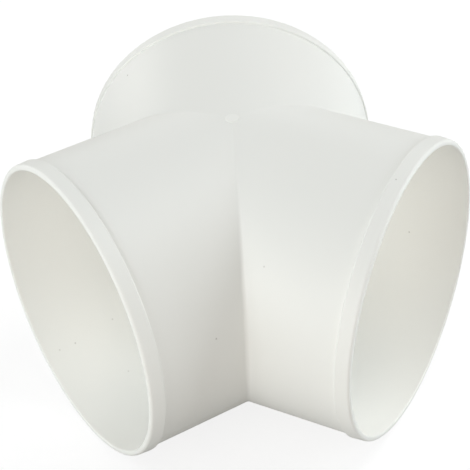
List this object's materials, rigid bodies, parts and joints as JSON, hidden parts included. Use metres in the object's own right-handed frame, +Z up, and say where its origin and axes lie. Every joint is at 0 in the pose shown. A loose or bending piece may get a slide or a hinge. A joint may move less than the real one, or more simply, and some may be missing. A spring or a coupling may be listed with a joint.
{
  "type": "duct wye fitting",
  "caption": "Equal Y fitting for round duct: thin round branches at 120 degrees open into each other, and each mouth has a low raised collar with a rounded lip.",
  "frame": {"origin": "the point where the three branch axes meet, in the middle of the junction", "axes": "+Z up, square to the level plane of the branch axes; +Y out of the back branch along its axis; +X to the right, so the left and right branches point 120 degrees either side of +Y"},
  "size_m": [0.2072, 0.1798, 0.1312],
  "materials": {
    "white_plastic": "off-white moulded plastic with a soft satin skin, slightly glossier on the collars and lips"
  },
  "bodies": {
    "root": {"duct_fitting": "white_plastic"}
  },
  "joints": []
}
